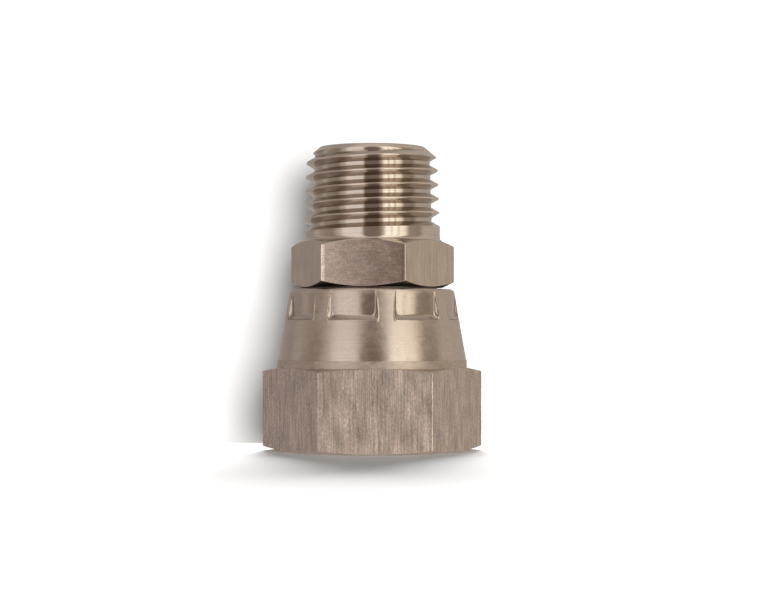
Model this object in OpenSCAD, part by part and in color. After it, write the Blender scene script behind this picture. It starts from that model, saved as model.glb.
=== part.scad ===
// Swivel pipe adapter for an air hose: a body with a tapered male pipe thread
// and a union nut that turns freely on it, held by its own crimped skirt.
// Millimetres. +Z runs along the flow axis to the male thread. The origin is
// the centre of the nut's open end, on which the adapter stands.

/* [Male pipe thread] */
// Crest diameter where the thread meets the collar
thread_d = 13.6; // [13:0.1:16]
// Distance from crest to crest
thread_pitch = 1.411; // [1.2:0.001:1.6]
// Depth of the groove from crest to root
thread_depth = 0.82; // [0.6:0.01:0.95]
// Width of the flat left on each crest
crest_w = 0.11; // [0.08:0.01:0.2]
// Length from the collar to the end face
thread_len = 7.95; // [5:0.05:12]
// Growth in diameter for each unit of length
thread_taper = 0.0625; // [0.04:0.0025:0.08]
// Diameter of the flat end face
end_face_d = 10.5; // [9:0.1:11.2]
// Angle between the lead chamfer and the end face
lead_angle = 40; // [35:1:50]
// Turn of the thread at which the groove reaches its full depth
full_turn = 0.62; // [0.5:0.01:0.8]
// Turns over which the groove runs out beside the collar
runout_turns = 0.45; // [0.25:0.05:0.6]

/* [Body] */
// Diameter of the air passage
bore_d = 7.14; // [5:0.02:7.6]
// Height of the plain collar below the thread
collar_h = 1.35; // [1:0.05:4]
// Largest radius of the fillet at the collar's foot
collar_fillet = 0.5; // [0.2:0.05:0.8]
// Size of the wrench hexagon across flats
body_af = 14.29; // [13.7:0.01:18]
// Height of the wrench hexagon
body_hex_h = 4.75; // [3:0.05:8]
// Angle of the chamfers on the wrench hexagon
body_chamfer = 26; // [15:1:35]
// Turn of the wrench hexagon about the axis
body_turn = -7; // [-30:1:30]
// Diameter of the neck inside the crimped rim
neck_d = 13; // [12.4:0.1:13.2]
// Diameter of the shoulder that holds the nut
shoulder_d = 14.2; // [14:0.05:14.6]
// Height of the straight part of the shoulder
shoulder_h = 2.6; // [1.5:0.1:3.2]
// Half angle of the seat cone
seat_angle = 30; // [25:1:35]
// Diameter of the seat cone at its foot
seat_d = 11.6; // [11:0.1:12.6]
// Diameter of the seat cone at its nose
nose_d = 8.6; // [8.4:0.1:9.6]

/* [Union nut] */
// Thickness of the nut between its thread and each flat
nut_wall = 2.645; // [2.4:0.005:5]
// Height of the hexagon, up to the skirt
nut_hex_h = 8.3; // [8:0.1:12]
// Angle of the chamfers on the nut
nut_chamfer = 13; // [8:1:25]
// Turn of the nut's hexagon about the axis
nut_turn = 2; // [-30:1:30]
// Diameter of the threaded socket at the thread's roots
socket_d = 13.76; // [13.5:0.02:14.2]
// Depth of the threaded socket
socket_depth = 7; // [6:0.1:7.6]
// Width of the chamfer at the socket's mouth
mouth_chamfer = 0.6; // [0.3:0.1:1]
// Thickness of the skirt at its crimped rim
skirt_wall = 1.65; // [1.5:0.05:1.8]
// Height of the skirt above the hexagon
skirt_h = 7.8; // [7.2:0.05:9]
// Height of the straight band at the skirt's foot
band_h = 0.75; // [0.4:0.05:1.5]
// Number of jaw marks round the rim
crimp_count = 8; // [6:1:10]
// Angle that the pressed face of one jaw mark spans
crimp_span = 31.5; // [24:0.5:33]
// Height of the jaw marks below the rim
crimp_h = 3.1; // [2:0.05:3.6]
// Depth of the jaw marks at the rim
crimp_depth = 0.08; // [0.04:0.01:0.2]
// Turn of the jaw marks about the axis
crimp_turn = 31.8; // [0:0.1:60]

/* [Clearances] */
// Gap between the shoulder and the skirt round it
shoulder_gap = 0.08; // [0.04:0.01:0.2]
// Gap between the neck and the rim round it
rim_gap = 0.15; // [0.08:0.01:0.3]
// Height of the gap between the nut's rim and the wrench hexagon
float_gap = 0.2; // [0.1:0.05:0.5]
// Gap along the shoulder's cone, where the crimp holds it
cone_gap = 0.12; // [0.08:0.01:0.3]

/* [Hidden] */
$fn = 96;

// heights along the axis, from the nut's open end up
rim_z = nut_hex_h + skirt_h;
body_hex_z = rim_z + float_gap;
collar_z = body_hex_z + body_hex_h;
thread_z = collar_z + collar_h;
end_z = thread_z + thread_len;

// the fillet runs from the collar down to the wrench hexagon's top chamfer, which
// it meets without an edge; where the hexagon is close to the collar it is smaller
body_top_step = 0.35;
fillet_r = max(0.05, min(collar_fillet,
    0.82 * (body_af - thread_d) / 2 / (1 - sin(body_chamfer))));
fillet_x = thread_d / 2 + fillet_r;
fillet_z = collar_z + fillet_r * cos(body_chamfer) - tan(body_chamfer)
    * (fillet_x - fillet_r * sin(body_chamfer) - body_af / 2 + body_top_step);

// the shoulder's cone rises at 45 degrees from the shoulder to the neck
cone_h = (shoulder_d - neck_d) / 2;
lip_h = 1.5;
cone_top_z = rim_z - lip_h;
shoulder_top_z = cone_top_z - cone_h;
shoulder_z = shoulder_top_z - shoulder_h;
nose_z = shoulder_z - (seat_d - nose_d) / 2 / tan(seat_angle);

// the hollow in the nut, each wall a clearance away from the body
chamber_d = shoulder_d + 2 * shoulder_gap;
lip_d = neck_d + 2 * rim_gap;
nut_cone_top_z = cone_top_z + cone_gap * sqrt(2) - rim_gap;
nut_cone_z = nut_cone_top_z - (chamber_d - lip_d) / 2;

// the nut is cut from hexagon bar, and its skirt turned just inside the flats
nut_af = socket_d + 2 * nut_wall;
band_d = nut_af - 0.08;
skirt_d = band_d - 0.1;
rim_d = lip_d + 2 * skirt_wall;
hex_corner = 1 / cos(30);

// thread form: 60 degree flanks with a flat at crest and root
flank_w = thread_depth * tan(30);
root_w = thread_pitch - crest_w - 2 * flank_w;
thread_steps = 36;

// radius of the thread's crests at a height
function crest_r(z) = (thread_d - thread_taper * (z - thread_z)) / 2;

// height of the groove's middle after a number of turns; it leaves the collar
// with a crest level with the collar's top on the +X side
function groove_z(turn) = thread_z + thread_pitch * (turn - 0.5);

// how far the cutting edge has drawn back towards the collar end
function draw_back(turn) = thread_depth * max(0, full_turn - turn) / runout_turns;

// corners of the groove's section after a number of turns
function groove_section(turn) =
    let (
        z = groove_z(turn),
        root = crest_r(z) - thread_depth + draw_back(turn),
        open = crest_w * 0.35,
        outer = root + thread_depth + open / tan(30),
        half_root = root_w / 2,
        half_open = half_root + flank_w + open
    )
    [for (p = [[root, -half_root], [outer, -half_open], [outer, half_open], [root, half_root]])
        [p[0] * cos(360 * turn), p[0] * sin(360 * turn), z + p[1]]];

// the helical groove, swept from the air round the collar to past the end face
module thread_groove() {
    first = full_turn - runout_turns * 1.2;
    last = (thread_len + thread_pitch) / thread_pitch + 0.5;
    count = ceil((last - first) * thread_steps);
    points = [for (i = [0:count]) each groove_section(first + i / thread_steps)];
    sides = [for (i = [0:count - 1], k = [0:3])
        let (a = 4 * i + k, b = 4 * i + (k + 1) % 4)
        each [[a, b, b + 4], [a, b + 4, a + 4]]];
    ends = [[0, 2, 1], [0, 3, 2],
        [4 * count, 4 * count + 1, 4 * count + 2], [4 * count, 4 * count + 2, 4 * count + 3]];
    polyhedron(points = points, faces = concat(sides, ends));
}

// a hexagon with both ends chamfered, so each flat ends in a shallow arc
module chamfered_hexagon(af, height, angle, turn, low_step, top_step) {
    corner_r = af / 2 * hex_corner + 0.5;
    low_r = af / 2 - low_step;
    top_r = af / 2 - top_step;
    intersection() {
        rotate([0, 0, turn])
            cylinder(d = af * hex_corner, h = height, $fn = 6);
        rotate_extrude()
            polygon([
                [0, 0], [low_r, 0], [corner_r, (corner_r - low_r) * tan(angle)],
                [corner_r, height - (corner_r - top_r) * tan(angle)], [top_r, height],
                [0, height]
            ]);
    }
}

// the body's turned surfaces, from the seat cone's nose up to the end face
module body_blank() {
    tip = (crest_r(end_z) - end_face_d / 2) * tan(lead_angle);
    nose_edge = 0.25;
    rotate_extrude()
        polygon([
            [0, nose_z], [nose_d / 2 - nose_edge, nose_z],
            [nose_d / 2, nose_z + nose_edge / tan(seat_angle)],
            [seat_d / 2, shoulder_z], [shoulder_d / 2 - 0.3, shoulder_z],
            [shoulder_d / 2, shoulder_z + 0.3],
            [shoulder_d / 2, shoulder_top_z], [neck_d / 2, cone_top_z],
            [neck_d / 2, body_hex_z + 0.5],
            [fillet_x - fillet_r * sin(body_chamfer), body_hex_z + 1],
            for (i = [0:6]) let (a = 270 - body_chamfer - (90 - body_chamfer) * i / 6)
                [fillet_x + fillet_r * cos(a), fillet_z + fillet_r * sin(a)],
            [thread_d / 2, thread_z], [crest_r(end_z - tip), end_z - tip],
            [end_face_d / 2, end_z], [0, end_z]
        ]);
}

// body: threaded stem, collar, wrench hexagon, neck, shoulder and seat in one
module adapter_body() {
    color([0.66, 0.62, 0.58])
    difference() {
        union() {
            difference() {
                body_blank();
                thread_groove();
            }
            translate([0, 0, body_hex_z])
                chamfered_hexagon(body_af, body_hex_h, body_chamfer, body_turn,
                    low_step = 0.05, top_step = body_top_step);
        }
        translate([0, 0, nose_z - 1])
            cylinder(d = bore_d, h = end_z - nose_z + 2);
        // broken edges at both mouths of the air passage
        translate([0, 0, end_z - 0.3])
            cylinder(d1 = bore_d, d2 = bore_d + 1, h = 0.5);
        translate([0, 0, nose_z - 0.2])
            cylinder(d1 = bore_d + 1, d2 = bore_d, h = 0.5);
    }
}

// outside radius of the skirt at a share of its height above the band
function skirt_r(share) =
    skirt_d / 2 + (rim_d - skirt_d) / 2 * (0.86 * share + 0.14 * sin(90 * share));

// the skirt's outside: a straight band, then drawn in towards a rounded rim
module skirt_outside() {
    edge = 0.45;
    low = nut_hex_h + band_h;
    rise = skirt_h - band_h - edge;
    rotate_extrude()
        polygon([
            [0, nut_hex_h - 0.5], [band_d / 2, nut_hex_h - 0.5], [band_d / 2, low - 0.05],
            for (i = [0:6]) [skirt_r(i / 6), low + rise * i / 6],
            for (a = [20:17.5:90])
                [rim_d / 2 - edge + edge * cos(a), rim_z - edge + edge * sin(a)],
            [0, rim_z]
        ]);
}

// the space that one jaw takes: upright pressed face, with a ledge below it and
// flanks beside it that slope back out, so the mark grows wider as it gets deeper
module jaw() {
    face_r = rim_d / 2 - crimp_depth;
    back_r = band_d / 2 + 1;
    face_x = face_r * cos(crimp_span / 2);
    face_y = face_r * sin(crimp_span / 2);
    slope = 0.9;
    flank_y = face_y + slope * (back_r - face_x);
    low = rim_z - crimp_h;
    ledge_z = low + 0.5;
    window_y = face_y + 0.5;
    corner = 0.75;
    intersection() {
        rotate_extrude()
            polygon([[face_r, rim_z + 1], [face_r, ledge_z],
                [back_r, ledge_z - slope * (back_r - face_r)], [back_r, rim_z + 1]]);
        linear_extrude(height = rim_z + 1)
            polygon([[0, -face_y], [face_x, -face_y], [back_r, -flank_y],
                [back_r, flank_y], [face_x, face_y], [0, face_y]]);
        // rounded lower corners, seen from straight in front
        rotate([90, 0, 90])
            linear_extrude(height = back_r + 1)
                union() {
                    translate([-window_y, low + corner])
                        square([2 * window_y, crimp_h + 1]);
                    translate([corner - window_y, low])
                        square([2 * (window_y - corner), crimp_h]);
                    for (side = [-1, 1])
                        translate([side * (window_y - corner), low + corner])
                            circle(r = corner);
                }
    }
}

// the hollow through the nut: socket, chamber for the shoulder, and rim
module nut_hollow() {
    mouth_r = socket_d / 2 + mouth_chamfer;
    rotate_extrude()
        polygon([
            [0, -1], [mouth_r + 1, -1], [mouth_r, 0],
            [socket_d / 2, mouth_chamfer], [socket_d / 2, socket_depth],
            [chamber_d / 2, socket_depth + 0.25], [chamber_d / 2, nut_cone_z],
            [lip_d / 2, nut_cone_top_z], [lip_d / 2, rim_z - 0.2],
            [lip_d / 2 + 0.5, rim_z + 0.3], [lip_d / 2 + 0.5, rim_z + 1], [0, rim_z + 1]
        ]);
}

// union nut: hexagon and crimped skirt in one piece
module swivel_nut() {
    color([0.62, 0.58, 0.54])
    difference() {
        union() {
            chamfered_hexagon(nut_af, nut_hex_h, nut_chamfer, nut_turn,
                low_step = 0.5, top_step = 0.15);
            skirt_outside();
        }
        for (i = [0:crimp_count - 1])
            rotate([0, 0, crimp_turn + i * 360 / crimp_count])
                jaw();
        nut_hollow();
    }
}

adapter_body();
swivel_nut();
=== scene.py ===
import math

import bmesh
import bpy
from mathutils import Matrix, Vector


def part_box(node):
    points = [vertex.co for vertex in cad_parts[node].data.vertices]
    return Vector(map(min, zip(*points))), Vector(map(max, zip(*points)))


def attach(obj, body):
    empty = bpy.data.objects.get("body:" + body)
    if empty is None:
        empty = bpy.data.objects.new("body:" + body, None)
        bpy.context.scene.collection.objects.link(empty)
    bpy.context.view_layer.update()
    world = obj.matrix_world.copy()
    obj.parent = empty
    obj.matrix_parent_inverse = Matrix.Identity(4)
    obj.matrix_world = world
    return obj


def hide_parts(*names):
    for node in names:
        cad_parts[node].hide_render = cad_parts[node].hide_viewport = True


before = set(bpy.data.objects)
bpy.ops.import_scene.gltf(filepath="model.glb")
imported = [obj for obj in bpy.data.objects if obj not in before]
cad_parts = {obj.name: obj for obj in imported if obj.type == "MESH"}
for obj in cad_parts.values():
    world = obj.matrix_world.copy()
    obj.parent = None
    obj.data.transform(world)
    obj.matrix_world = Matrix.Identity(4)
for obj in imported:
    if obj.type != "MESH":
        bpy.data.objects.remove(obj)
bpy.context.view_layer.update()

# The camera stands level with the nut's skirt, 0.2 m in front of the adapter, and looks
# straight ahead. The shift frames the whole part without tilting the camera.
camera_data = bpy.data.cameras.new("photo_camera")
camera_data.sensor_width = 36.0
camera_data.lens = 94.74
camera_data.shift_y = 0.0342
camera_data.clip_start = 0.005
camera = bpy.data.objects.new("photo_camera", camera_data)
camera.location = (0.00078, -0.2008, 0.01205)
camera.rotation_euler = (math.radians(90), 0, 0)
bpy.context.scene.collection.objects.link(camera)
bpy.context.scene.camera = camera
bpy.context.scene.view_settings.view_transform = "Standard"

# The studio round the adapter is a soft tent, dark behind the camera and pale to both sides,
# so turned metal shows tall pale and dark bands. Only the camera sees plain white instead.
# Each band is given by its bearing in degrees, 0 towards the camera and 90 to its right.
STUDIO_BANDS = [
    (-180, (0.44, 0.40, 0.36)),
    (-124, (0.385, 0.34, 0.315)),
    (-106, (0.53, 0.48, 0.435)),
    (-94, (0.40, 0.345, 0.305)),
    (-72, (0.33, 0.28, 0.24)),
    (-58, (0.62, 0.55, 0.50)),
    (-47, (1.04, 0.98, 0.94)),
    (-20, (1.04, 0.97, 0.93)),
    (-17.6, (0.98, 0.89, 0.84)),
    (-13.4, (0.25, 0.195, 0.165)),
    (11, (0.25, 0.195, 0.165)),
    (19, (0.60, 0.52, 0.45)),
    (23, (1.45, 1.38, 1.25)),
    (30, (1.75, 1.67, 1.52)),
    (33.5, (0.90, 0.80, 0.66)),
    (36.5, (1.75, 1.68, 1.52)),
    (42, (1.60, 1.50, 1.30)),
    (45.5, (0.85, 0.74, 0.58)),
    (49.5, (1.60, 1.50, 1.28)),
    (57, (1.30, 1.18, 1.00)),
    (66, (0.42, 0.35, 0.28)),
    (86, (0.36, 0.30, 0.24)),
    (98, (0.62, 0.55, 0.47)),
    (180, (0.46, 0.42, 0.38)),
]
BRIGHTEST_BAND = 1.8
world = bpy.data.worlds.new("soft_studio")
bpy.context.scene.world = world
world.use_nodes = True
tree = world.node_tree
tree.nodes.clear()
direction = tree.nodes.new("ShaderNodeTexCoord")
split = tree.nodes.new("ShaderNodeSeparateXYZ")
tree.links.new(direction.outputs["Generated"], split.inputs[0])
behind = tree.nodes.new("ShaderNodeMath")
behind.operation = "MULTIPLY"
behind.inputs[1].default_value = -1
tree.links.new(split.outputs["Y"], behind.inputs[0])
azimuth = tree.nodes.new("ShaderNodeMath")
azimuth.operation = "ARCTAN2"
tree.links.new(split.outputs["X"], azimuth.inputs[0])
tree.links.new(behind.outputs[0], azimuth.inputs[1])
around = tree.nodes.new("ShaderNodeMapRange")
around.inputs["From Min"].default_value = -math.pi
around.inputs["From Max"].default_value = math.pi
tree.links.new(azimuth.outputs[0], around.inputs["Value"])
bands = tree.nodes.new("ShaderNodeValToRGB")
bands.color_ramp.interpolation = "EASE"
stops = bands.color_ramp.elements
while len(stops) < len(STUDIO_BANDS):
    stops.new(0.5)
for stop, (degrees, tone) in zip(stops, STUDIO_BANDS):
    stop.position = (degrees + 180) / 360
    stop.color = (*[part / BRIGHTEST_BAND for part in tone], 1)
tree.links.new(around.outputs["Result"], bands.inputs["Fac"])
tent = tree.nodes.new("ShaderNodeBackground")
slope = tree.nodes.new("ShaderNodeMath")
slope.operation = "ABSOLUTE"
tree.links.new(split.outputs["Z"], slope.inputs[0])
overhead = tree.nodes.new("ShaderNodeMapRange")
overhead.interpolation_type = "SMOOTHSTEP"
overhead.inputs["From Min"].default_value = 0.86
overhead.inputs["From Max"].default_value = 0.99
tree.links.new(slope.outputs[0], overhead.inputs["Value"])
roof = tree.nodes.new("ShaderNodeMix")
roof.data_type = "RGBA"
roof.inputs["B"].default_value = (0.37, 0.335, 0.30, 1)
tree.links.new(overhead.outputs["Result"], roof.inputs["Factor"])
tree.links.new(bands.outputs["Color"], roof.inputs["A"])
tree.links.new(roof.outputs["Result"], tent.inputs["Color"])
white = tree.nodes.new("ShaderNodeBackground")
white.inputs["Color"].default_value = (1, 1, 1, 1)
rays = tree.nodes.new("ShaderNodeLightPath")
dim = tree.nodes.new("ShaderNodeMapRange")
dim.inputs["To Min"].default_value = BRIGHTEST_BAND
dim.inputs["To Max"].default_value = 0.3
tree.links.new(rays.outputs["Is Diffuse Ray"], dim.inputs["Value"])
tree.links.new(dim.outputs["Result"], tent.inputs["Strength"])
choose = tree.nodes.new("ShaderNodeMixShader")
tree.links.new(rays.outputs["Is Camera Ray"], choose.inputs[0])
tree.links.new(tent.outputs[0], choose.inputs[1])
tree.links.new(white.outputs[0], choose.inputs[2])
output = tree.nodes.new("ShaderNodeOutputWorld")
tree.links.new(choose.outputs[0], output.inputs[0])

# Two broad lamps light the white card and make the soft shadow: the one in front, to the
# right, throws it to the left, and the one high behind throws it forward along the floor.
# Metal shows the tent and not the lamps.
LAMP_AIM = Vector((0, 0, 0.012))
for name, place, size, power in [
    ("front_lamp", (0.095, -0.52, 0.065), 0.26, 4.0),
    ("back_lamp", (0.030, 0.63, 0.46), 0.42, 14.5),
]:
    lamp_data = bpy.data.lights.new(name, "AREA")
    lamp_data.shape = "DISK"
    lamp_data.size = size
    lamp_data.energy = power
    lamp = bpy.data.objects.new(name, lamp_data)
    lamp.location = place
    lamp.rotation_euler = (LAMP_AIM - lamp.location).to_track_quat("-Z", "Y").to_euler()
    lamp.visible_glossy = False
    lamp.visible_camera = False
    bpy.context.scene.collection.objects.link(lamp)

# Floor and backdrop are one sheet of white card, folded up close behind the adapter. It keeps
# the adapter's shadow, is plain white beyond the lamps' reach, and its back is open to light
# and to a camera that goes behind.
FOLD_Y = 0.0125
CARD_SIZE = 1.0
CARD_FRONT = Vector((0, -1, 1))
card = bmesh.new()
bmesh.ops.create_grid(card, x_segments=1, y_segments=1, size=CARD_SIZE)
bmesh.ops.translate(card, verts=card.verts, vec=(0, FOLD_Y - CARD_SIZE, 0))
back_edge = max(card.edges, key=lambda edge: sum(vertex.co.y for vertex in edge.verts))
raised = bmesh.ops.extrude_edge_only(card, edges=[back_edge])["geom"]
raised = [part for part in raised if isinstance(part, bmesh.types.BMVert)]
bmesh.ops.translate(card, verts=raised, vec=(0, 0, CARD_SIZE))
for face in card.faces:
    face.normal_update()
    if face.normal.dot(CARD_FRONT) < 0:
        face.normal_flip()
card_mesh = bpy.data.meshes.new("white_card")
card.to_mesh(card_mesh)
card.free()
white_card = bpy.data.objects.new("white_card", card_mesh)
white_card.visible_glossy = False
white_card.visible_diffuse = False
bpy.context.scene.collection.objects.link(white_card)
paper = bpy.data.materials.new("white_card_paper")
paper.use_nodes = True
tree = paper.node_tree
tree.nodes.clear()
matt = tree.nodes.new("ShaderNodeBsdfDiffuse")
matt.inputs["Color"].default_value = (0.8, 0.8, 0.8, 1)
place = tree.nodes.new("ShaderNodeTexCoord")
distance = tree.nodes.new("ShaderNodeVectorMath")
distance.operation = "LENGTH"
tree.links.new(place.outputs["Object"], distance.inputs[0])
beyond = tree.nodes.new("ShaderNodeMapRange")
beyond.interpolation_type = "SMOOTHSTEP"
beyond.inputs["From Min"].default_value = 0.07
beyond.inputs["From Max"].default_value = 0.13
tree.links.new(distance.outputs["Value"], beyond.inputs["Value"])
plain_white = tree.nodes.new("ShaderNodeEmission")
rays = tree.nodes.new("ShaderNodeLightPath")
seen_beyond = tree.nodes.new("ShaderNodeMath")
seen_beyond.operation = "MULTIPLY"
tree.links.new(beyond.outputs["Result"], seen_beyond.inputs[0])
tree.links.new(rays.outputs["Is Camera Ray"], seen_beyond.inputs[1])
sheet = tree.nodes.new("ShaderNodeMixShader")
tree.links.new(seen_beyond.outputs[0], sheet.inputs[0])
tree.links.new(matt.outputs[0], sheet.inputs[1])
tree.links.new(plain_white.outputs[0], sheet.inputs[2])
open_back = tree.nodes.new("ShaderNodeBsdfTransparent")
facing = tree.nodes.new("ShaderNodeNewGeometry")
lets_through = tree.nodes.new("ShaderNodeMath")
lets_through.operation = "MAXIMUM"
tree.links.new(facing.outputs["Backfacing"], lets_through.inputs[0])
tree.links.new(rays.outputs["Is Shadow Ray"], lets_through.inputs[1])
one_sided = tree.nodes.new("ShaderNodeMixShader")
tree.links.new(lets_through.outputs[0], one_sided.inputs[0])
tree.links.new(sheet.outputs[0], one_sided.inputs[1])
tree.links.new(open_back.outputs[0], one_sided.inputs[2])
output = tree.nodes.new("ShaderNodeOutputMaterial")
tree.links.new(one_sided.outputs[0], output.inputs[0])
card_mesh.materials.append(paper)

# The body is one turned piece of stainless bar, 9/16 in across the flats: seat cone and
# shoulder at the bottom, inside the nut, then neck, wrench hexagon, collar and a 1/4-18
# tapered pipe thread cut in a lathe. Its thread is bright, and its flats keep the drawn bar.
# Lengths are in millimetres, heights run from the floor, and angles are in degrees from +X.
body_low, body_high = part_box("adapter_body")
NOSE_Z = body_low[2] * 1000
END_Z = body_high[2] * 1000
BORE_R = 7.14 / 2
BORE_CHAMFER = 0.3
NOSE_R = 4.05
SEAT_LOW_R = 4.3
SEAT_RISE = 0.43
SEAT_HIGH_R = 5.8
SHOULDER_R = 7.1
SHOULDER_EDGE = 0.3
SHOULDER_LOW_Z = 11.4
SHOULDER_HIGH_Z = 14.0
NECK_R = 6.5
NECK_Z = 14.6
THREAD_R = 13.6 / 2
PITCH = 1.411
DEPTH = 0.82
CREST_WIDTH = 0.11
FLANK = math.tan(math.radians(30))
HALF_ROOT = (PITCH - CREST_WIDTH) / 2 - DEPTH * FLANK
TAPER = 0.0625
END_FACE_R = 10.5 / 2
LEAD = math.tan(math.radians(40))
FULL_TURN = 0.62
RUNOUT_TURNS = 0.45
THREAD_Z = END_Z - 7.95
COLLAR_Z = THREAD_Z - 1.35
COLLAR_CUT = 0.09
HEX_Z = COLLAR_Z - 4.75
BODY_HEXAGON = (14.29 / 2, 0.09, -7)
BODY_FLAT_R = BODY_HEXAGON[0]
BODY_CHAMFER = math.tan(math.radians(26))
BODY_FOOT_INSET = 0.05
BODY_TOP_INSET = 0.35
BODY_NEAR = 0.03
FILLET_R = 0.5
FILLET_X = THREAD_R + FILLET_R
FILLET_Z = COLLAR_Z + 0.31
FILLET_ARC = [math.radians(244 - 8 * i) for i in range(9)]

# Places in the list of steels that each piece is given.
DRAWN, TURNED, INSIDE, SCUFFED, SHADE_PAINTED = range(5)

# The steel's grain is noise drawn out by a different amount along each axis. The vector is in
# millimetres, and Scale says how many grains lie along one millimetre of each axis.
stretched_noise = bpy.data.node_groups.new("stretched_noise", "ShaderNodeTree")
stretched_noise.interface.new_socket("Vector", in_out="INPUT", socket_type="NodeSocketVector")
stretched_noise.interface.new_socket("Scale", in_out="INPUT", socket_type="NodeSocketVector")
stretched_noise.interface.new_socket("Detail", in_out="INPUT", socket_type="NodeSocketFloat")
stretched_noise.interface.new_socket("Low", in_out="INPUT", socket_type="NodeSocketFloat")
stretched_noise.interface.new_socket("High", in_out="INPUT", socket_type="NodeSocketFloat")
stretched_noise.interface.new_socket("Value", in_out="OUTPUT", socket_type="NodeSocketFloat")
inputs = stretched_noise.nodes.new("NodeGroupInput")
drawn_out = stretched_noise.nodes.new("ShaderNodeVectorMath")
drawn_out.operation = "MULTIPLY"
stretched_noise.links.new(inputs.outputs["Vector"], drawn_out.inputs[0])
stretched_noise.links.new(inputs.outputs["Scale"], drawn_out.inputs[1])
noise = stretched_noise.nodes.new("ShaderNodeTexNoise")
noise.inputs["Scale"].default_value = 1
noise.inputs["Roughness"].default_value = 0.6
stretched_noise.links.new(drawn_out.outputs[0], noise.inputs["Vector"])
stretched_noise.links.new(inputs.outputs["Detail"], noise.inputs["Detail"])
spread = stretched_noise.nodes.new("ShaderNodeMapRange")
spread.inputs["From Min"].default_value = 0.3
spread.inputs["From Max"].default_value = 0.7
stretched_noise.links.new(noise.outputs["Fac"], spread.inputs["Value"])
stretched_noise.links.new(inputs.outputs["Low"], spread.inputs["To Min"])
stretched_noise.links.new(inputs.outputs["High"], spread.inputs["To Max"])
outputs = stretched_noise.nodes.new("NodeGroupOutput")
stretched_noise.links.new(spread.outputs["Result"], outputs.inputs["Value"])


def add_grain(tree, millimetres, scale, detail, low, high):
    """A stretched_noise node in a material, reading from low to high."""
    grain = tree.nodes.new("ShaderNodeGroup")
    grain.node_tree = stretched_noise
    tree.links.new(millimetres, grain.inputs["Vector"])
    grain.inputs["Scale"].default_value = scale
    grain.inputs["Detail"].default_value = detail
    grain.inputs["Low"].default_value = low
    grain.inputs["High"].default_value = high
    return grain.outputs["Value"]


def give(tree, socket, value):
    """Set an input to a number, or link it to another node's output."""
    if isinstance(value, (int, float)):
        socket.default_value = value
    else:
        tree.links.new(value, socket)


def add_math(tree, operation, first, second):
    """A math node; each of its inputs is a number or another node's output."""
    node = tree.nodes.new("ShaderNodeMath")
    node.operation = operation
    give(tree, node.inputs[0], first)
    give(tree, node.inputs[1], second)
    return node.outputs[0]


def add_range(tree, value, from_min, from_max, to_min, to_max):
    """A map range node that takes value from one span to the other, and holds at its ends."""
    node = tree.nodes.new("ShaderNodeMapRange")
    give(tree, node.inputs["Value"], value)
    give(tree, node.inputs["From Min"], from_min)
    give(tree, node.inputs["From Max"], from_max)
    give(tree, node.inputs["To Min"], to_min)
    give(tree, node.inputs["To Max"], to_max)
    return node.outputs["Result"]


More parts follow.
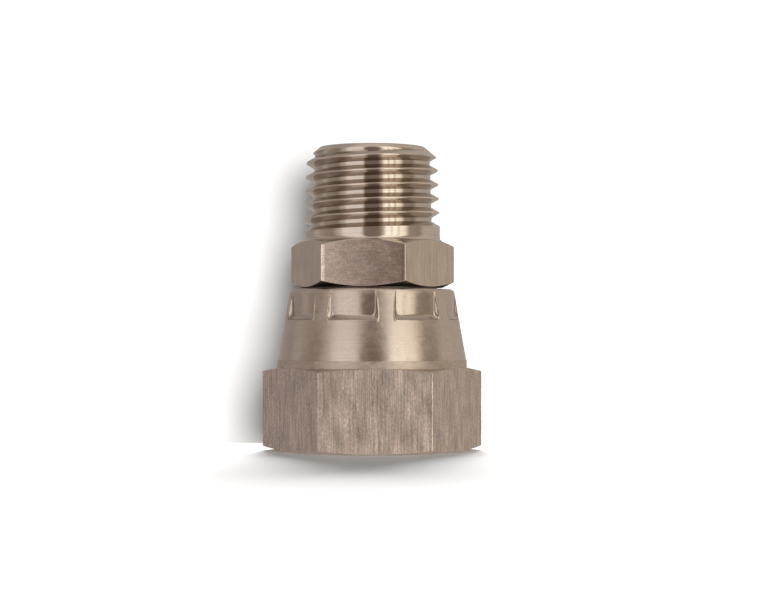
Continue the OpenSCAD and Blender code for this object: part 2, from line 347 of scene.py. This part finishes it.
def make_steel(name, colour, roughness, grain_scale, grain_depth, grain_tone, patch_scale,
               patch_tone, speckle_tone, depth_tone=None, dull_tone=None, crease_shade_tone=None):
    """Bare stainless steel with a fine grain and larger patches, each drawn out by its scale,
    and an even speckle. Lengths are in millimetres.
    depth_tone holds two depths below the uncut surface, the factor on the colour at each, and
    the factor on the roughness at each; its colour factor paints lighter and darker by depth,
    as a highlight on edges and crests and as shade in grooves. dull_tone holds two heights and
    the factor on the roughness at each. crease_shade_tone holds the depth at which a dark line
    of painted shade runs, the two heights between which it fades out, and its factor on the
    colour."""
    material = bpy.data.materials.new(name)
    material.use_nodes = True
    tree = material.node_tree
    shader = tree.nodes["Principled BSDF"]
    shader.inputs["Metallic"].default_value = 1.0
    place = tree.nodes.new("ShaderNodeTexCoord")
    scaled = tree.nodes.new("ShaderNodeVectorMath")
    scaled.operation = "SCALE"
    scaled.inputs["Scale"].default_value = 1000
    tree.links.new(place.outputs["Object"], scaled.inputs[0])
    millimetres = scaled.outputs[0]
    if depth_tone or crease_shade_tone:
        attribute = tree.nodes.new("ShaderNodeAttribute")
        attribute.attribute_name = "depth"
        depth = attribute.outputs["Fac"]
    if dull_tone or crease_shade_tone:
        split = tree.nodes.new("ShaderNodeSeparateXYZ")
        tree.links.new(millimetres, split.inputs[0])
        height = split.outputs["Z"]

    grain = add_grain(tree, millimetres, grain_scale, 3, 0, 1)
    streak = add_grain(tree, millimetres, grain_scale, 3, 1 - grain_tone, 1 + grain_tone)
    patch = add_grain(tree, millimetres, patch_scale, 4, 1 - patch_tone, 1 + patch_tone)
    speckle = add_grain(tree, millimetres, (9, 9, 4), 2, 1 - speckle_tone, 1 + speckle_tone)
    brightness = add_math(tree, "MULTIPLY", add_math(tree, "MULTIPLY", streak, patch), speckle)
    rough = add_grain(tree, millimetres, patch_scale, 2, roughness * 0.85, roughness * 1.15)
    if depth_tone:
        shallow, deep, shallow_tone, deep_tone, shallow_rough, deep_rough = depth_tone
        shade = add_range(tree, depth, shallow, deep, shallow_tone, deep_tone)
        brightness = add_math(tree, "MULTIPLY", brightness, shade)
        polish = add_range(tree, depth, shallow, deep, shallow_rough, deep_rough)
        rough = add_math(tree, "MULTIPLY", rough, polish)
    # A dark line painted as shade in the crease, where the depth passes line_depth.
    if crease_shade_tone:
        line_depth, fade_low, fade_high, line_tone = crease_shade_tone
        from_line = add_math(tree, "SUBTRACT", depth, line_depth)
        from_line = add_math(tree, "ABSOLUTE", from_line, 0)
        line_tone = add_range(tree, height, fade_low, fade_high, line_tone, 1)
        crease_shade = add_range(tree, from_line, line_depth * 0.3, line_depth, line_tone, 1)
        brightness = add_math(tree, "MULTIPLY", brightness, crease_shade)
    if dull_tone:
        rough = add_math(tree, "MULTIPLY", rough, add_range(tree, height, *dull_tone))

    tone = tree.nodes.new("ShaderNodeVectorMath")
    tone.operation = "SCALE"
    tone.inputs[0].default_value = colour
    tree.links.new(brightness, tone.inputs["Scale"])
    tree.links.new(tone.outputs[0], shader.inputs["Base Color"])
    tree.links.new(rough, shader.inputs["Roughness"])
    relief = tree.nodes.new("ShaderNodeBump")
    relief.inputs["Strength"].default_value = 1.0
    relief.inputs["Distance"].default_value = grain_depth / 1000
    tree.links.new(grain, relief.inputs["Height"])
    tree.links.new(relief.outputs[0], shader.inputs["Normal"])
    return material


def rounded_share(flat_r, edge_r):
    """How many degrees of a side's 60, at either end, its rounded edge takes up."""
    half_flat = (flat_r - edge_r) * math.tan(math.radians(30))
    return 30 - math.degrees(math.atan(half_flat / flat_r))


def hexagon_corner(flat_r, edge_r):
    """Radius of a hexagon over its rounded edges."""
    return (flat_r - edge_r) / math.cos(math.radians(30)) + edge_r


def hexagon_radius(flat_r, edge_r, turn, angle):
    """Radius of a hexagon with rounded edges; its edges stand at turn and every 60 degrees on."""
    from_edge = abs((angle - turn + 30) % 60 - 30)
    if from_edge >= rounded_share(flat_r, edge_r):
        return flat_r / math.cos(math.radians(30 - from_edge))
    centre = hexagon_corner(flat_r, edge_r) - edge_r
    swing = math.radians(from_edge)
    across = centre * math.sin(swing)
    return centre * math.cos(swing) + math.sqrt(max(0, edge_r ** 2 - across ** 2))


def hexagon_angles(flat_r, edge_r, turn, steps):
    """One turn of angles from edge to edge, close together where an edge is rounded."""
    rounded = rounded_share(flat_r, edge_r)
    side = [rounded * share for share in (0, 0.35, 0.7, 1)]
    side += [rounded + step for step in (0.2, 0.5, 1.0)]
    side += [rounded + (60 - 2 * rounded) * i / steps for i in range(1, steps)]
    side += [60 - rounded - step for step in (1.0, 0.5, 0.2)]
    side += [60 - rounded * share for share in (1, 0.7, 0.35)]
    return [turn + 60 * k + step for k in range(6) for step in side] + [turn + 360]


def wrap_rings(name, angles, rings, materials, uncut):
    """A closed shell whose rings run round the axis, each a function of the angle that gives
    (radius, height) in millimetres, and the material above it, or one for each angle. The
    last ring joins the first. uncut(height) is the radius from which the depth is measured."""
    shell = bmesh.new()
    columns = len(angles) - 1
    rows = len(rings) - 1
    bmesh.ops.create_grid(shell, x_segments=columns, y_segments=rows, size=1.0)
    depth = shell.verts.layers.float.new("depth")
    place = {}
    for vertex in shell.verts:
        column = round((vertex.co.x + 1) / 2 * columns)
        row = round((vertex.co.y + 1) / 2 * rows)
        radius, height = rings[row][0](angles[column])
        swing = math.radians(angles[column])
        vertex.co = Vector((radius * math.cos(swing), radius * math.sin(swing), height)) / 1000
        vertex[depth] = max(0, uncut(height) - radius)
        place[vertex] = (row, column)
    for face in shell.faces:
        row, column = min(place[vertex] for vertex in face.verts)
        above = rings[row][1]
        middle = (angles[column] + angles[column + 1]) / 2
        face.material_index = above(middle) if callable(above) else above
        face.smooth = True
    bmesh.ops.remove_doubles(shell, verts=shell.verts, dist=1e-7)
    bmesh.ops.dissolve_degenerate(shell, edges=shell.edges, dist=1e-7)
    bmesh.ops.recalc_face_normals(shell, faces=shell.faces)
    mesh = bpy.data.meshes.new(name)
    shell.to_mesh(mesh)
    shell.free()
    for material in materials:
        mesh.materials.append(material)
    mesh.set_sharp_from_angle(angle=math.radians(50))
    obj = bpy.data.objects.new(name, mesh)
    bpy.context.scene.collection.objects.link(obj)
    weigh = obj.modifiers.new("even_normals", "WEIGHTED_NORMAL")
    weigh.keep_sharp = True
    return obj


def fixed(radius, height, material):
    """A ring that is a plain circle."""
    return (lambda angle: (radius, height)), material


def crest_radius(height):
    """The uncut cone that the thread's crests lie on, straight at the collar."""
    return min(THREAD_R, THREAD_R - TAPER * (height - THREAD_Z) / 2)


def stem_radius(height):
    """The stem before its thread is cut: the crests' cone and the lead chamfer."""
    return min(crest_radius(height), END_FACE_R + (END_Z - height) / LEAD)


def groove_left(turns):
    """How deep the groove still is after that many turns; it runs out at the collar."""
    return DEPTH - DEPTH * max(0, FULL_TURN - turns) / RUNOUT_TURNS


def thread_radius(angle, height):
    """The threaded stem's radius: the uncut stem or the nearest groove."""
    radius = stem_radius(height)
    nearest = round((height - THREAD_Z) / PITCH + 0.5 - angle / 360)
    for passes in (nearest - 1, nearest, nearest + 1):
        turns = angle / 360 + passes
        left = groove_left(turns)
        if left > 0:
            middle = THREAD_Z + PITCH * (turns - 0.5)
            aside = max(0, abs(height - middle) - HALF_ROOT)
            radius = min(radius, crest_radius(middle) - left + aside / FLANK)
    return radius


def thread_ring(passes, side, share):
    """A ring that follows the helix: side picks a flank or the root, share a place on it."""
    def place(angle):
        turns = angle / 360 + passes
        flank = max(0, groove_left(turns)) * FLANK
        offset = {
            "low": -HALF_ROOT - flank * (1 - share),
            "root": HALF_ROOT * (2 * share - 1),
            "high": HALF_ROOT + flank * share,
        }[side]
        height = min(max(THREAD_Z + PITCH * (turns - 0.5) + offset, COLLAR_Z), END_Z)
        return thread_radius(angle, height), height
    return place, TURNED


def hexagon_ring(hexagon, chamfer_z, slope, inset, near, material):
    """A ring along the arc where a chamfer meets the flats, a little on the chamfer (near
    below 0) or on the flat (near above 0). The chamfer starts at chamfer_z, inset inside the
    flats, and climbs by slope, or falls by it where it is below 0."""
    def place(angle):
        radius = hexagon_radius(*hexagon, angle)
        if near < 0:
            radius += near
        rise = (radius - (hexagon[0] - inset)) * slope
        if near > 0:
            rise += math.copysign(near, slope)
        return radius, chamfer_z + rise
    return place, material


def body_side(angle):
    """Front and back flats are scuffed along by wrenches, and the others keep the drawn bar."""
    side = math.floor((angle - BODY_HEXAGON[2]) % 360 / 60)
    return SCUFFED if side in (1, 4) else DRAWN


def body_uncut(height):
    """The body before its grooves and flats are cut. The collar counts as cut, and polished."""
    if height > THREAD_Z - 0.05:
        return stem_radius(height)
    if height > COLLAR_Z - 0.1:
        return THREAD_R + COLLAR_CUT
    return hexagon_corner(*BODY_HEXAGON[:2])


body_rings = [
    fixed(BORE_R, NOSE_Z + BORE_CHAMFER, INSIDE),
    fixed(BORE_R + BORE_CHAMFER, NOSE_Z, INSIDE),
    fixed(NOSE_R, NOSE_Z, INSIDE),
    fixed(SEAT_LOW_R, NOSE_Z + SEAT_RISE, INSIDE),
    fixed(SEAT_HIGH_R, SHOULDER_LOW_Z, INSIDE),
    fixed(SHOULDER_R - SHOULDER_EDGE, SHOULDER_LOW_Z, INSIDE),
    fixed(SHOULDER_R, SHOULDER_LOW_Z + SHOULDER_EDGE, INSIDE),
    fixed(SHOULDER_R, SHOULDER_HIGH_Z, INSIDE),
    # The neck and the hexagon's underside, in the gap over the nut, take a steel painted nearly
    # black as shade.
    fixed(NECK_R, NECK_Z, SHADE_PAINTED),
    fixed(NECK_R, HEX_Z, SHADE_PAINTED),
    fixed(BODY_FLAT_R - BODY_FOOT_INSET, HEX_Z, SHADE_PAINTED),
    hexagon_ring(BODY_HEXAGON, HEX_Z, BODY_CHAMFER, BODY_FOOT_INSET, -BODY_NEAR, DRAWN),
    hexagon_ring(BODY_HEXAGON, HEX_Z, BODY_CHAMFER, BODY_FOOT_INSET, BODY_NEAR, body_side),
    hexagon_ring(BODY_HEXAGON, COLLAR_Z, -BODY_CHAMFER, BODY_TOP_INSET, BODY_NEAR, TURNED),
    hexagon_ring(BODY_HEXAGON, COLLAR_Z, -BODY_CHAMFER, BODY_TOP_INSET, -BODY_NEAR, TURNED),
]
for swing in FILLET_ARC:
    radius = FILLET_X + FILLET_R * math.cos(swing)
    body_rings.append(fixed(radius, FILLET_Z + FILLET_R * math.sin(swing), TURNED))
for passes in range(-2, math.ceil((END_Z - THREAD_Z) / PITCH) + 2):
    body_rings += [thread_ring(passes, "low", i / 6) for i in range(6)]
    body_rings += [thread_ring(passes, "root", i / 3) for i in range(3)]
    body_rings += [thread_ring(passes, "high", i / 6) for i in range(7)]
body_rings += [
    fixed(END_FACE_R, END_Z, TURNED),
    fixed(BORE_R + BORE_CHAMFER, END_Z, TURNED),
    fixed(BORE_R, END_Z - BORE_CHAMFER, INSIDE),
    fixed(BORE_R, NOSE_Z + BORE_CHAMFER, INSIDE),
]
# Along the hexagon's rounded edges the colour is painted lighter as a highlight, and the metal is
# smoother there.
body_drawn = make_steel(
    "body_drawn", colour=(0.61, 0.53, 0.47), roughness=0.36,
    grain_scale=(8, 8, 0.3), grain_depth=0.003, grain_tone=0.16,
    patch_scale=(1, 1, 0.5), patch_tone=0.09, speckle_tone=0.07,
    depth_tone=(0.02, 0.08, 1.15, 1.0, 0.55, 1.0))
# Down the thread's grooves the colour is painted darker as shade, and on the crests a little lighter
# as a highlight.
body_turned = make_steel(
    "body_turned", colour=(0.66, 0.59, 0.53), roughness=0.11,
    grain_scale=(0.15, 0.15, 13), grain_depth=0.0005, grain_tone=0.12,
    patch_scale=(0.5, 0.5, 2), patch_tone=0.04, speckle_tone=0.05,
    depth_tone=(0.02, 0.16, 1.06, 0.87, 1.6, 0.85))
body_inside = make_steel(
    "body_inside", colour=(0.50, 0.44, 0.40), roughness=0.50,
    grain_scale=(0.3, 0.3, 8), grain_depth=0.001, grain_tone=0.05,
    patch_scale=(0.5, 0.5, 1), patch_tone=0.05, speckle_tone=0.04)
# Along the rounded edges of the scuffed flats the colour is painted lighter as a highlight, and the
# metal is smoother there.
body_scuffed = make_steel(
    "body_scuffed", colour=(0.62, 0.53, 0.48), roughness=0.10,
    grain_scale=(1.3, 1.3, 9), grain_depth=0.0007, grain_tone=0.17,
    patch_scale=(0.9, 0.9, 1.5), patch_tone=0.12, speckle_tone=0.16,
    depth_tone=(0.03, 0.10, 1.25, 1.0, 0.8, 1.0))
# Steel painted nearly black as shade, for the neck and the gap under the hexagon.
body_shade_painted = make_steel(
    "body_shade_painted", colour=(0.20, 0.165, 0.145), roughness=0.42,
    grain_scale=(0.3, 0.3, 8), grain_depth=0.001, grain_tone=0.10,
    patch_scale=(0.5, 0.5, 1), patch_tone=0.15, speckle_tone=0.10)
body = wrap_rings(
    "adapter_body_look", hexagon_angles(*BODY_HEXAGON, 28), body_rings,
    [body_drawn, body_turned, body_inside, body_scuffed, body_shade_painted], body_uncut)
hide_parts("adapter_body")
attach(body, "stem")

# The nut is one piece of 3/4 in hexagon bar: wrench flats below, and above them a thin skirt
# that eight jaws press in round the rim, so it holds the body's shoulder and still turns.
# Its flats keep the drawn bar's streaks, its skirt is turned satin, and the marks are smooth.
NUT_HEXAGON = (19.05 / 2, 0.11, 2)
NUT_FLAT_R = NUT_HEXAGON[0]
NUT_CHAMFER = math.tan(math.radians(13))
NUT_FOOT_INSET = 0.5
NUT_TOP_INSET = 0.15
NUT_NEAR = 0.04
NUT_HEX_Z = 8.3
RIM_Z = HEX_Z - 0.2
RIM_R = 8.3
RIM_EDGE = 0.45
BAND_R = NUT_FLAT_R - 0.04
SKIRT_R = BAND_R - 0.05
SKIRT_Z = NUT_HEX_Z + 0.75
SKIRT_BULGE = 0.14
LIP_R = 6.65
LIP_EDGE = 0.2
LIP_Z = 14.62
CHAMBER_R = 7.18
CHAMBER_LOW_Z = 7.25
CHAMBER_HIGH_Z = 14.09
SOCKET_R = 13.76 / 2
SOCKET_DEPTH = 7
SOCKET_CHAMFER = 0.6
SOCKET_GROOVE = 0.12
RIDGE_R = 6.12
RIDGE_END_Z = 6.9
RIDGE_FADE_Z = 6.6
JAW_COUNT = 8
JAW_TURN = 31.8
JAW_SPAN = 31.5
JAW_FACE_R = RIM_R - 0.08
JAW_LEDGE_Z = RIM_Z - 2.6
JAW_SLOPE = 0.9
JAW_CORNER = 0.7
JAW_FOOT = 0.16
JAW_EDGE = 0.08
BEAD_H = 0.035
BEAD_OUT = 0.10
BEAD_WIDTH = 0.09
BEAD_TOP_Z = RIM_Z - 0.6
BEAD_FADE = 0.8
FACED = 3


def smooth_min(first, second, blend):
    """The lower of two values, with the corner between them rounded off."""
    near = max(blend - abs(first - second), 0) / blend
    return min(first, second) - near * near * blend / 4


def skirt_radius(height):
    """The skirt's outside: drawn in towards the rim, and rounded over at its edge."""
    top = RIM_Z - RIM_EDGE
    if height > top:
        return RIM_R - RIM_EDGE + math.sqrt(max(0, RIM_EDGE ** 2 - (height - top) ** 2))
    share = (height - SKIRT_Z) / (top - SKIRT_Z)
    drawn_in = (1 - SKIRT_BULGE) * share + SKIRT_BULGE * math.sin(math.radians(90 * share))
    return SKIRT_R + (RIM_R - SKIRT_R) * drawn_in


def pressed_radius(angle, height):
    """The skirt with its jaw marks: an upright face, a ledge under it and sloped flanks, and
    round them a low bead of the metal that the jaw pushed aside, which fades near the rim."""
    between = 360 / JAW_COUNT
    aside = math.radians(abs((angle - JAW_TURN + between / 2) % between - between / 2))
    face_x = JAW_FACE_R * math.cos(math.radians(JAW_SPAN / 2))
    face_y = JAW_FACE_R * math.sin(math.radians(JAW_SPAN / 2))
    flank = (JAW_SLOPE * face_x - face_y) / (JAW_SLOPE * math.cos(aside) - math.sin(aside))
    ledge = JAW_FACE_R + (JAW_LEDGE_Z - height) / JAW_SLOPE
    mark = -smooth_min(smooth_min(-flank, -ledge, JAW_CORNER), -JAW_FACE_R, JAW_FOOT)
    skirt = skirt_radius(height)
    bead = BEAD_H * math.exp(-((mark - skirt - BEAD_OUT) / BEAD_WIDTH) ** 2)
    bead *= min(1, max(0, (BEAD_TOP_Z - height) / BEAD_FADE))
    return smooth_min(skirt, mark, JAW_EDGE) + bead


def skirt_ring(height):
    """A ring of the skirt, through the jaw marks where it meets them."""
    return (lambda angle: (pressed_radius(angle, height), height)), TURNED


def socket_ring(turns, share):
    """A ring of the nut's own thread, whose grooves wind down the socket's wall."""
    def place(angle):
        middle = PITCH * (turns - angle / 360)
        height = min(max(middle + PITCH * (0.5 - share), SOCKET_CHAMFER), RIDGE_END_Z)
        offset = abs((height - middle + PITCH / 2) % PITCH - PITCH / 2)
        groove = SOCKET_R - max(0, offset - SOCKET_GROOVE) / FLANK
        mouth = SOCKET_R + SOCKET_CHAMFER - height
        inner_end = SOCKET_R - max(0, RIDGE_FADE_Z - height)
        return min(SOCKET_R, max(groove, RIDGE_R, mouth, inner_end)), height
    return place, INSIDE


def nut_uncut(height):
    """The nut before its flats are cut and its skirt is pressed."""
    if height > SKIRT_Z - 0.01:
        return skirt_radius(height)
    return hexagon_corner(*NUT_HEXAGON[:2])


# The skirt's rings stand closest where the ledges of the jaw marks run.
nut_rings = [
    fixed(SOCKET_R + SOCKET_CHAMFER, 0, FACED),
    fixed(NUT_FLAT_R - NUT_FOOT_INSET, 0, FACED),
    hexagon_ring(NUT_HEXAGON, 0, NUT_CHAMFER, NUT_FOOT_INSET, -NUT_NEAR, DRAWN),
    hexagon_ring(NUT_HEXAGON, 0, NUT_CHAMFER, NUT_FOOT_INSET, NUT_NEAR, DRAWN),
    hexagon_ring(NUT_HEXAGON, NUT_HEX_Z, -NUT_CHAMFER, NUT_TOP_INSET, NUT_NEAR, DRAWN),
    hexagon_ring(NUT_HEXAGON, NUT_HEX_Z, -NUT_CHAMFER, NUT_TOP_INSET, -NUT_NEAR, FACED),
    fixed(BAND_R, NUT_HEX_Z - 0.02, FACED),
    fixed(BAND_R, SKIRT_Z - 0.015, FACED),
    *[skirt_ring(SKIRT_Z + 0.4 * i) for i in range(9)],
    *[skirt_ring(SKIRT_Z + 3.5 + 0.06 * i) for i in range(22)],
    *[skirt_ring(SKIRT_Z + 4.85 + 0.12 * i) for i in range(14)],
    *[skirt_ring(RIM_Z - RIM_EDGE + RIM_EDGE * math.sin(math.radians(a))) for a in range(0, 91, 15)],
    fixed(LIP_R + LIP_EDGE, RIM_Z, TURNED),
    fixed(LIP_R, RIM_Z - LIP_EDGE, INSIDE),
    fixed(LIP_R, LIP_Z, INSIDE),
    fixed(CHAMBER_R, CHAMBER_HIGH_Z, INSIDE),
    fixed(CHAMBER_R, CHAMBER_LOW_Z, INSIDE),
    fixed(SOCKET_R, SOCKET_DEPTH, INSIDE),
    *[socket_ring(turns, i / 8) for turns in range(6, -1, -1) for i in range(8)],
    fixed(SOCKET_R, SOCKET_CHAMFER, INSIDE),
    fixed(SOCKET_R + SOCKET_CHAMFER, 0, FACED),
]
# Along the hexagon's rounded edges the colour is painted lighter as a highlight, and the metal is
# smoother there.
nut_drawn = make_steel(
    "nut_drawn", colour=(0.59, 0.51, 0.47), roughness=0.46,
    grain_scale=(11, 11, 0.28), grain_depth=0.005, grain_tone=0.32,
    patch_scale=(1.1, 1.1, 0.35), patch_tone=0.18, speckle_tone=0.24,
    depth_tone=(0.02, 0.08, 1.15, 1.0, 0.55, 1.0))
# Down in the jaw marks the colour is a little darker and the metal smoother. A dark line painted as
# shade in the crease runs round their edges and fades out towards the rim.
nut_turned = make_steel(
    "nut_turned", colour=(0.59, 0.515, 0.46), roughness=0.25,
    grain_scale=(0.25, 0.25, 14), grain_depth=0.0008, grain_tone=0.06,
    patch_scale=(1.3, 1.3, 1.6), patch_tone=0.06, speckle_tone=0.06,
    depth_tone=(0.04, 0.12, 1.0, 0.93, 1.0, 0.52),
    dull_tone=(9.5, 13.5, 0.85, 1.4),
    crease_shade_tone=(0.04, RIM_Z - 0.8, RIM_Z - 0.5, 0.45))
nut_faced = make_steel(
    "nut_faced", colour=(0.55, 0.475, 0.42), roughness=0.42,
    grain_scale=(1, 1, 6), grain_depth=0.002, grain_tone=0.12,
    patch_scale=(1.3, 1.3, 1.6), patch_tone=0.10, speckle_tone=0.08)
nut_inside = make_steel(
    "nut_inside", colour=(0.50, 0.44, 0.40), roughness=0.30,
    grain_scale=(0.3, 0.3, 8), grain_depth=0.001, grain_tone=0.05,
    patch_scale=(0.5, 0.5, 1), patch_tone=0.05, speckle_tone=0.04)

# More columns stand where the flanks of the jaw marks run.
nut_angles = hexagon_angles(*NUT_HEXAGON, 40)
for jaw in range(JAW_COUNT):
    for side in (-1, 1):
        flank = JAW_TURN + jaw * 360 / JAW_COUNT + side * (JAW_SPAN / 2 + 0.9)
        near = [flank + 0.27 * i for i in range(-8, 9)]
        near = [NUT_HEXAGON[2] + (angle - NUT_HEXAGON[2]) % 360 for angle in near]
        nut_angles += [angle for angle in near if min(abs(angle - a) for a in nut_angles) > 0.1]
nut_angles.sort()
nut = wrap_rings(
    "swivel_nut_look", nut_angles, nut_rings, [nut_drawn, nut_turned, nut_inside, nut_faced],
    nut_uncut)
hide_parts("swivel_nut")
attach(nut, "nut")
